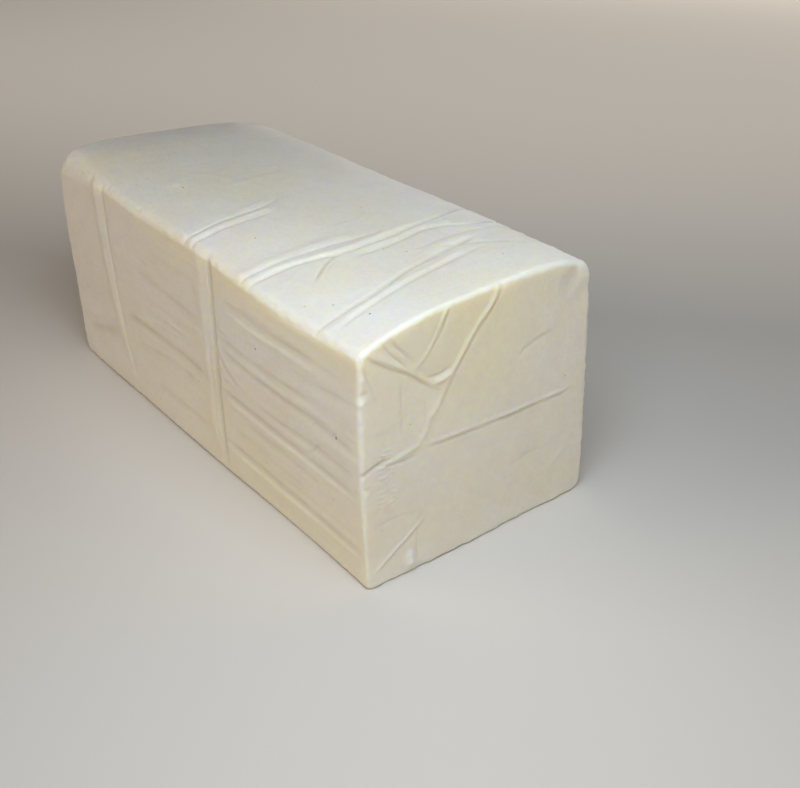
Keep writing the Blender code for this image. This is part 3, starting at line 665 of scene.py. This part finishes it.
def fold_lift(points, normals):
    """Height of all the folds at every point."""
    lift = np.zeros(len(points))
    for face, folds in FOLDS.items():
        grip = facing(normals, face)
        across = points[:, FACES[face][0]]
        for height, half_width, route in folds:
            reach = FOLD_REACH * np.max(half_width)
            low = np.min(route, axis=0) - reach
            high = np.max(route, axis=0) + reach
            close = (grip > 0) & np.all((across > low) & (across < high), axis=1)
            lift[close] += grip[close] * fold_height(across[close], height, half_width, route)
    return lift * rise(*BASE_CLEAR, points[:, 2])


def stretch_share(across, stretch, edge):
    """How far inside a stretch (low u, high u, low v, high v) each point lies, from 0 to 1."""
    share = 1.0
    for at, (low, high) in zip(across.T, (stretch[:2], stretch[2:])):
        share = share * rise(low, low + edge, at) * rise(high, high - edge, at)
    return share


def wrinkle_lift(points, normals):
    """Height of the film's fine wrinkles and of the rough patch at every point."""
    lift = np.zeros(len(points))
    for face, waves, height, stretch in WRINKLES:
        grip = facing(normals, face)
        on = grip > 0
        fine = height * soft_noise(points[on], waves, WRINKLE_SHIFT) * grip[on]
        if stretch:
            fine *= stretch_share(points[on][:, FACES[face][0]], stretch, WRINKLE_EDGE)
        lift[on] += fine
    lift += PATCH_HEIGHT * facing(normals, "near") * patch_height(points)
    return lift * rise(*BASE_CLEAR, points[:, 2])


def patch_height(points):
    """Height of the small broken ripples in the rough patch, from 0 to 1."""
    height = stretch_share(points[:, (1, 2)], PATCH, PATCH_EDGE)
    on = height > 0
    place = points[on]
    wander = PATCH_WANDER * soft_noise(place, PATCH_WANDER_WAVES, PATCH_WANDER_SHIFT)
    ripple = 0.5 + 0.5 * np.sin((place[:, 2] + wander) * 2 * np.pi / PATCH_STEP)
    breaks = rise(*PATCH_BREAK, soft_noise(place, PATCH_BREAK_WAVES, PATCH_BREAK_SHIFT))
    height[on] *= ripple * breaks
    return height


def edge_share(normals):
    """How much each point belongs to a rounded edge rather than to a face."""
    return rise(*RAGGED_RANGE, np.abs(normals).max(axis=1))


def painted_light_share(points, normals):
    """How much painted light each point gets: painted highlights on the rounded edges, most of
    all at the near end, on small lumps and on the patch, and painted light on the skirt.
    """
    x = points[:, 0]
    place = np.maximum(rise(*PAINTED_LIGHT_NEAR, x), PAINTED_LIGHT_LONG * rise(*PAINTED_LIGHT_LONG_FROM, x))
    share = edge_share(normals) * place
    for middle, radius, deep in DENTS:
        if deep < 0:
            gap = np.linalg.norm(points - middle, axis=1)
            share += np.exp(-(gap / (radius * LUMP_HIGHLIGHT)) ** 2)
    near = facing(normals, "near")
    share += SKIRT_PAINTED_LIGHT * near * rise(SKIRT_PAINTED_LIGHT_HEIGHT, 0.0, points[:, 2])
    return share + PATCH_HIGHLIGHT * near * patch_height(points)


def cream_and_glow_share(points, normals):
    """How much creamy colour and painted light each point gets: a painted glow below the top
    edges, where light shines through, a painted warm bounce low on the left side, and creamy
    patches on the top.
    """
    x, y, z = points.T
    below = through(LEFT_EDGE, x) - z
    side = facing(normals, "left") * through(SIDE_GLOW_AND_BOUNCE, below) * rise(*SIDE_GLOW_FROM, x)
    end = facing(normals, "near") * rise(*END_GLOW_Z, z) * through(END_GLOW_Y, y)
    share = np.maximum(side, end)
    for (patch_x, patch_y), radius, strength in CREAM_PATCHES:
        gap = np.hypot(x - patch_x, y - patch_y) / radius
        share += facing(normals, "top") * strength * np.exp(-gap ** 2)
    return share


def ragged_lift(points, normals):
    """Small unevenness along the edges, and the rough skirt at the foot of the near end."""
    edge = (RAGGED_HEIGHT * edge_share(normals)
            * soft_noise(points, (RAGGED_WAVE,) * 3, RAGGED_SHIFT))
    skirt = rise(SKIRT_HEIGHT, 0.0, points[:, 2]) * facing(normals, "near")
    crumb = SKIRT_OUT * skirt * soft_noise(points, SKIRT_WAVES, SKIRT_SHIFT)
    return (edge + crumb) * rise(*RAGGED_CLEAR, points[:, 2])


def dent_depth(points):
    """Depth of the nicks and dents, less the small lumps, at every point."""
    depth = np.zeros(len(points))
    for middle, radius, deep in DENTS:
        gap = np.linalg.norm(points - middle, axis=1)
        depth += deep * np.exp(-(gap / radius) ** 2)
    return depth


def fitted(points, low, high):
    """Stretch points by a hair so that their box is exactly the box from low to high."""
    own_low, own_high = points.min(axis=0), points.max(axis=0)
    return low + (points - own_low) * (high - low) / (own_high - own_low)


def thinned(source, triangles):
    """Keep only as many triangles as the relief needs."""
    source.data.calc_loop_triangles()
    thin = source.modifiers.new("Thin", "DECIMATE")
    thin.ratio = triangles / len(source.data.loop_triangles)
    thin.use_collapse_triangulate = True
    evaluated = source.evaluated_get(bpy.context.evaluated_depsgraph_get())
    mesh = bpy.data.meshes.new_from_object(evaluated)
    source.modifiers.clear()
    return mesh


def fleck_places(points, normals, finished):
    """Find where each named fleck lies on the finished surface, with its radius."""
    places = []
    for face, at, radius in FLECKS:
        gap = np.hypot(*(points[:, FACES[face][0]] - at).T)
        nearest = np.argmin(np.where(facing(normals, face) > 0.5, gap, np.inf))
        places.append((tuple(finished[nearest]), radius))
    return places


def loaf_mesh(piece, sizes):
    """Shape the fine net into the loaf, press in its relief, fit it to its box, and say where
    the flecks lie."""
    mesh = piece.data
    unit = read_points(mesh, "co")
    unit = mix(unit, np.sin(unit * np.pi / 2), NET_CROWDING)
    points = shaped(rounded_block(unit), sizes)
    write_points(mesh, points)
    points = uneven(points, read_points(mesh, "normal"))
    write_points(mesh, points)
    normals = read_points(mesh, "normal")
    folds = fold_lift(points, normals) * sizes.fold_depth
    wrinkles = wrinkle_lift(points, normals) * sizes.wrinkle_depth
    lift = folds + wrinkles + ragged_lift(points, normals) - dent_depth(points)
    points = points + normals * lift[:, None]
    # Painted shade in the grooves, darker as a fold gets deeper.
    write_shares(mesh, "groove", -folds / GROOVE_SHADE_FULL)
    # Painted highlights on the edges, lumps and patch, and painted light on the skirt.
    write_shares(mesh, "rim", painted_light_share(points, normals))
    # Creamy colour, with a painted glow under the top edges and a painted warm bounce low on the
    # left side.
    write_shares(mesh, "cream", cream_and_glow_share(points, normals))
    low = np.array([-sizes.length / 2, -sizes.width / 2, 0.0])
    high = np.array([sizes.length / 2, sizes.width / 2, sizes.height])
    finished = fitted(points, low, high)
    write_points(mesh, finished)
    return fleck_places(points, normals, finished)


def flatten_base(mesh):
    """Put the points of the base at exactly zero."""
    points = read_points(mesh, "co")
    points[points[:, 2] < FLAT_BAND * MM, 2] = 0.0
    write_points(mesh, points)


# ---------------------------------------------------------------- materials

def add_node(tree, kind, inputs=None, **settings):
    """Add one node, set its attributes, and set or link its inputs by name or number."""
    made = tree.nodes.new(kind)
    for key, value in settings.items():
        setattr(made, key, value)
    for key, value in (inputs or {}).items():
        if isinstance(value, bpy.types.NodeSocket):
            tree.links.new(value, made.inputs[key])
        else:
            made.inputs[key].default_value = value
    return made


def blank_material(name):
    """Make a material that holds only its shader and output."""
    material = bpy.data.materials.new(name)
    material.use_nodes = True
    return material, material.node_tree, material.node_tree.nodes["Principled BSDF"]


def solid(colour):
    """Add full alpha to a colour."""
    return (*colour, 1.0)


def fleck_share(tree, place, points):
    """Make nodes that give 1 on the named flecks and 0 elsewhere."""
    share = None
    for centre, radius in points:
        gap = add_node(tree, "ShaderNodeVectorMath", {0: place, 1: centre}, operation="DISTANCE")
        spot = add_node(tree, "ShaderNodeMapRange",
                        {"Value": gap.outputs["Value"],
                         "From Min": radius * FLECK_BLUR[0] * MM,
                         "From Max": radius * FLECK_BLUR[1] * MM},
                        interpolation_type="SMOOTHSTEP")
        if share is None:
            share = spot.outputs["Result"]
        else:
            both = add_node(tree, "ShaderNodeMath", {0: share, 1: spot.outputs["Result"]},
                            operation="MAXIMUM")
            share = both.outputs["Value"]
    return share


def cheddar_material(look, flecks):
    """Young white cheddar, pressed and vacuum packed: a dense, fatty, slightly clear curd.

    Light goes some millimetres in, most of all the warm part, so edges and ridges glow creamy
    and grooves stay soft; a painted glow under the top edges adds to this. The surface was
    moulded by film, so it is smooth and faintly moist.
    """
    material, tree, shader = blank_material("young_white_cheddar")
    place = add_node(tree, "ShaderNodeTexCoord").outputs["Object"]

    # Curd: broad butter clouds a few centimetres wide, the duller knit of curds about 9 mm
    # across, and their grain about 2.4 mm wide. Each noise has its size in mm, detail,
    # roughness, the range it is read over and its most.
    layers = []
    for size, detail, rough, low, high, most, colour in (
            (42, 3.0, 0.55, 0.38, 0.66, 1.0, look.butter),
            (9, 4.0, 0.6, 0.45, 0.8, 0.35, look.whey),
            (2.4, 3.0, 0.7, 0.42, 0.72, 0.30, look.whey)):
        clouds = add_node(tree, "ShaderNodeTexNoise",
                          {"Vector": place, "Scale": per_metre(size), "Detail": detail,
                           "Roughness": rough})
        share = add_node(tree, "ShaderNodeMapRange",
                         {"Value": clouds.outputs["Fac"], "From Min": low, "From Max": high,
                          "To Max": most})
        layers.append((share.outputs["Result"], colour))

    # Creamy colour with a painted glow under the top edges and a painted warm bounce low on the
    # left side; painted highlights on the edges and lumps and painted light on the foot of the near
    # end; and painted shade in the grooves.
    for name, most, colour in (("cream", 0.8, look.cream), ("rim", 0.6, look.rim),
                               ("groove", 0.55, look.groove)):
        stored = add_node(tree, "ShaderNodeAttribute", attribute_name=name)
        share = add_node(tree, "ShaderNodeMath", {0: stored.outputs["Fac"], 1: most},
                         operation="MULTIPLY")
        layers.append((share.outputs["Value"], colour))

    # Garlic and herb: the bits that show, and fainter ones scattered about 13 mm apart.
    bits = fleck_share(tree, place, flecks)
    grains = add_node(tree, "ShaderNodeTexVoronoi",
                      {"Vector": place, "Scale": per_metre(13), "Randomness": 1.0})
    grain_share = add_node(tree, "ShaderNodeMapRange",
                           {"Value": grains.outputs["Distance"], "From Min": 0.055,
                            "From Max": 0.03, "To Max": 0.30})
    bit_share = add_node(tree, "ShaderNodeMath", {0: bits, 1: grain_share.outputs["Result"]},
                         operation="MAXIMUM")
    layers.append((bit_share.outputs["Value"], look.herb))

    # Each layer of colour is mixed over the ivory and the layers before it.
    body = solid(look.ivory)
    for share, colour in layers:
        mixed = add_node(tree, "ShaderNodeMix", {0: share, 6: body, 7: solid(colour)},
                         data_type="RGBA")
        body = mixed.outputs[2]
    tree.links.new(body, shader.inputs["Base Color"])

    # Sheen of the moulded face: 0.38 to 0.55, in patches about 14 mm wide.
    gloss = add_node(tree, "ShaderNodeTexNoise",
                     {"Vector": place, "Scale": per_metre(14), "Detail": 3.0})
    roughness = add_node(tree, "ShaderNodeMapRange",
                         {"Value": gloss.outputs["Fac"], "From Min": 0.3, "From Max": 0.7,
                          "To Min": 0.38, "To Max": 0.55})
    tree.links.new(roughness.outputs["Result"], shader.inputs["Roughness"])

    # Fine surface: film grain about 1.6 mm wide and a tighter one of 0.6 mm, which is drawn a
    # little coarser than the real one so that it shows.
    grain = add_node(tree, "ShaderNodeTexNoise",
                     {"Vector": place, "Scale": per_metre(1.6), "Detail": 5.0,
                      "Roughness": 0.65})
    pores = add_node(tree, "ShaderNodeTexNoise",
                     {"Vector": place, "Scale": per_metre(0.6), "Detail": 2.0})
    relief = add_node(tree, "ShaderNodeMath",
                      {0: pores.outputs["Fac"], 1: 0.35, 2: grain.outputs["Fac"]},
                      operation="MULTIPLY_ADD")
    bump = add_node(tree, "ShaderNodeBump",
                    {"Height": relief.outputs["Value"], "Strength": 0.5,
                     "Distance": 0.36 * MM})
    tree.links.new(bump.outputs["Normal"], shader.inputs["Normal"])

    # Fat and water scatter warm light furthest; IOR of milk fat, about 1.46.
    shader.inputs["IOR"].default_value = 1.46
    shader.inputs["Subsurface Weight"].default_value = 1.0
    shader.inputs["Subsurface Radius"].default_value = (1.0, 0.80, 0.30)
    shader.inputs["Subsurface Scale"].default_value = look.glow_depth
    shader.inputs["Coat Weight"].default_value = 0.12
    shader.inputs["Coat Roughness"].default_value = 0.28
    return material


def board_material(colour):
    """Matt coated board, the pale floor of a photographer's table."""
    material, _, shader = blank_material("matt_coated_board")
    shader.inputs["Base Color"].default_value = solid(colour)
    shader.inputs["Roughness"].default_value = 0.85
    return material


# ---------------------------------------------------------------- stage

def lay_floor(scene, stage):
    """Lay one large plain floor under the loaf."""
    bm = bmesh.new()
    bmesh.ops.create_grid(bm, x_segments=1, y_segments=1, size=FLOOR_SIZE / 2)
    mesh = bpy.data.meshes.new("floor")
    bm.to_mesh(mesh)
    bm.free()
    mesh.materials.append(board_material(stage.floor))
    floor = bpy.data.objects.new("floor", mesh)
    scene.collection.objects.link(floor)


def area_light(scene, name, place, target, size, power, colour):
    """Hang one soft light of this width and height and aim it."""
    data = bpy.data.lights.new(name, "AREA")
    data.shape = "RECTANGLE"
    data.size, data.size_y = size
    data.energy = power
    data.color = colour
    lamp = bpy.data.objects.new(name, data)
    lamp.location = place
    lamp.rotation_euler = (Vector(target) - Vector(place)).to_track_quat("-Z", "Y").to_euler()
    lamp.visible_camera = False
    scene.collection.objects.link(lamp)


def light_sky(scene, strength):
    """Light the scene evenly from all round."""
    scene.world = bpy.data.worlds.new("studio")
    scene.world.use_nodes = True
    sky = scene.world.node_tree.nodes["Background"]
    sky.inputs["Color"].default_value = solid(linear(SKY_COLOUR))
    sky.inputs["Strength"].default_value = strength


def place_camera(scene):
    """Set the camera with its place, its turn and its lens."""
    turn, rise_angle, roll = (math.radians(a) for a in
                              (CAMERA_AZIMUTH, CAMERA_ELEVATION, CAMERA_ROLL))
    back = Vector((math.sin(turn) * math.cos(rise_angle),
                   -math.cos(turn) * math.cos(rise_angle), math.sin(rise_angle)))
    right = Vector((0, 0, 1)).cross(back).normalized()
    up = back.cross(right)
    tilted_right = math.cos(roll) * right + math.sin(roll) * up
    tilted_up = -math.sin(roll) * right + math.cos(roll) * up
    data = bpy.data.cameras.new("camera")
    data.sensor_width = SENSOR_WIDTH
    data.lens = LENS
    camera = bpy.data.objects.new("camera", data)
    pose = Matrix((tilted_right, tilted_up, back)).transposed().to_4x4()
    pose.translation = Vector(CAMERA_PLACE) * MM
    camera.matrix_world = pose
    scene.collection.objects.link(camera)
    scene.camera = camera


# ---------------------------------------------------------------- settings

def colour_setting(name, description, code):
    """A colour that the user can change, with its default as a hex code."""
    return FloatVectorProperty(name=name, description=description, size=3, subtype="COLOR",
                               min=0.0, max=1.0, default=linear(code))


def length_setting(name, description, metres, low=0.0):
    """A length that the user can change."""
    return FloatProperty(name=name, description=description, default=metres, min=low,
                         unit="LENGTH")


def power_setting(name, description, watts):
    """The power of one lamp."""
    return FloatProperty(name=name, description=description, default=watts, min=0.0,
                         unit="POWER")


class CheddarSizes(bpy.types.PropertyGroup):
    """Sizes of the loaf. Length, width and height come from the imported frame."""

    length: length_setting("Length", "Overall length of the loaf",
                           CAD_BOX[1].x - CAD_BOX[0].x, 0.05)
    width: length_setting("Width", "Overall width of the loaf",
                          CAD_BOX[1].y - CAD_BOX[0].y, 0.03)
    height: length_setting("Height", "Overall height of the loaf",
                           CAD_BOX[1].z - CAD_BOX[0].z, 0.03)
    crown_near: length_setting("Near crown", "Rise of the top at the near end", 7.4 * MM)
    crown_far: length_setting("Far crown", "Rise of the top at the far end", 3.8 * MM)
    fold_depth: FloatProperty(name="Fold depth", description="Share of the full fold depth",
                              default=1.0, min=0.0, max=2.0, subtype="FACTOR")
    wrinkle_depth: FloatProperty(name="Wrinkle depth",
                                 description="Share of the full fine wrinkle depth",
                                 default=1.0, min=0.0, max=3.0, subtype="FACTOR")


class CheddarLook(bpy.types.PropertyGroup):
    """Colours and translucency of the cheese, with the colours of its painted glow, painted
    highlights and painted shade in the folds.
    """

    ivory: colour_setting("Ivory", "Main colour of the curd", "#F1EDE2")
    butter: colour_setting("Butter", "Warmer clouds in the curd", "#F0E9D7")
    whey: colour_setting("Whey", "Duller knit between the curds", "#E4DDCB")
    # Also the colour of the painted glow under the top edges and the painted warm bounce low on the
    # left side.
    cream: colour_setting("Cream", "Colour where fat gathers", "#F4E9BE")
    # Painted highlight on the edges, lumps and patch, and painted light on the foot of the near
    # end.
    rim: colour_setting("Rim", "Pale colour of the dry edges", "#F6F5EC")
    # Painted shade deep in the folds.
    groove: colour_setting("Groove", "Colour deep in the folds", "#D6CDB4")
    herb: colour_setting("Herb", "Bits of garlic skin and herb", "#A3967A")
    glow_depth: length_setting("Glow depth", "How far light goes into the cheese", 4.2 * MM)


class CheddarStage(bpy.types.PropertyGroup):
    """The floor and the lights."""

    floor: colour_setting("Floor", "Colour of the floor", "#DCD6CC")
    key_power: power_setting("Key", "Power of the light over the near end", 1.38)
    side_power: power_setting("Side", "Power of the light on the ribbed side", 5.8)
    front_power: power_setting("Front", "Power of the light on the near end", 0.84)
    back_power: power_setting("Back", "Power of the light on the hidden sides", 2.3)
    wash_power: power_setting("Wash", "Power of the light on the far floor", 11.0)
    sky: FloatProperty(name="Sky", description="Strength of the light from all round",
                       default=0.08, min=0.0)


# ---------------------------------------------------------------- operators

class CHEDDAR_OT_loaf(bpy.types.Operator):
    """Build the loaf of cheese over its CAD solid"""

    bl_idname = "cheddar.loaf"
    bl_label = "Cheddar loaf"

    def execute(self, context):
        scene = context.scene
        piece = bpy.data.objects.new("garlic_cheddar_loaf", net_mesh("garlic_cheddar_loaf"))
        scene.collection.objects.link(piece)
        flecks = loaf_mesh(piece, scene.cheddar_sizes)
        context.view_layer.update()
        fine = piece.data
        piece.data = thinned(piece, TRIANGLES)
        bpy.data.meshes.remove(fine)
        flatten_base(piece.data)
        piece.data.name = piece.name
        piece.data.shade_smooth()
        piece.data.materials.append(cheddar_material(scene.cheddar_look, flecks))
        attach(piece, "root")
        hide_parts(NODE)
        return {"FINISHED"}


class CHEDDAR_OT_stage(bpy.types.Operator):
    """Lay the floor and set up the lights and the camera"""

    bl_idname = "cheddar.stage"
    bl_label = "Floor, lights and camera"

    def execute(self, context):
        scene, stage = context.scene, context.scene.cheddar_stage
        lay_floor(scene, stage)
        for name, place, target, size, colour in LAMPS:
            area_light(scene, name, place, target, size, getattr(stage, name + "_power"),
                       linear(colour))
        light_sky(scene, stage.sky)
        place_camera(scene)
        scene.view_settings.view_transform = "Standard"
        return {"FINISHED"}


class CHEDDAR_PT_panel(bpy.types.Panel):
    """Panel with the loaf's settings and the buttons that build it"""

    bl_idname = "CHEDDAR_PT_panel"
    bl_label = "Garlic cheddar"
    bl_space_type = "VIEW_3D"
    bl_region_type = "UI"
    bl_category = "Cheddar"

    def draw(self, context):
        for place, group in GROUPS.items():
            box = self.layout.box()
            for name in group.__annotations__:
                box.prop(getattr(context.scene, place), name)
        for operator in (CHEDDAR_OT_loaf, CHEDDAR_OT_stage):
            self.layout.operator(operator.bl_idname)


GROUPS = {"cheddar_sizes": CheddarSizes, "cheddar_look": CheddarLook,
          "cheddar_stage": CheddarStage}
CLASSES = (*GROUPS.values(), CHEDDAR_OT_loaf, CHEDDAR_OT_stage, CHEDDAR_PT_panel)


def register():
    """Register the classes and hang the settings on the scene."""
    for made in CLASSES:
        bpy.utils.register_class(made)
    for place, group in GROUPS.items():
        setattr(bpy.types.Scene, place, PointerProperty(type=group))


def unregister():
    """Take the settings and the classes away again."""
    for place in GROUPS:
        delattr(bpy.types.Scene, place)
    for made in reversed(CLASSES):
        bpy.utils.unregister_class(made)


def main():
    """Build the loaf and its stage."""
    register()
    bpy.ops.cheddar.loaf()
    bpy.ops.cheddar.stage()


if __name__ == "__main__":
    main()
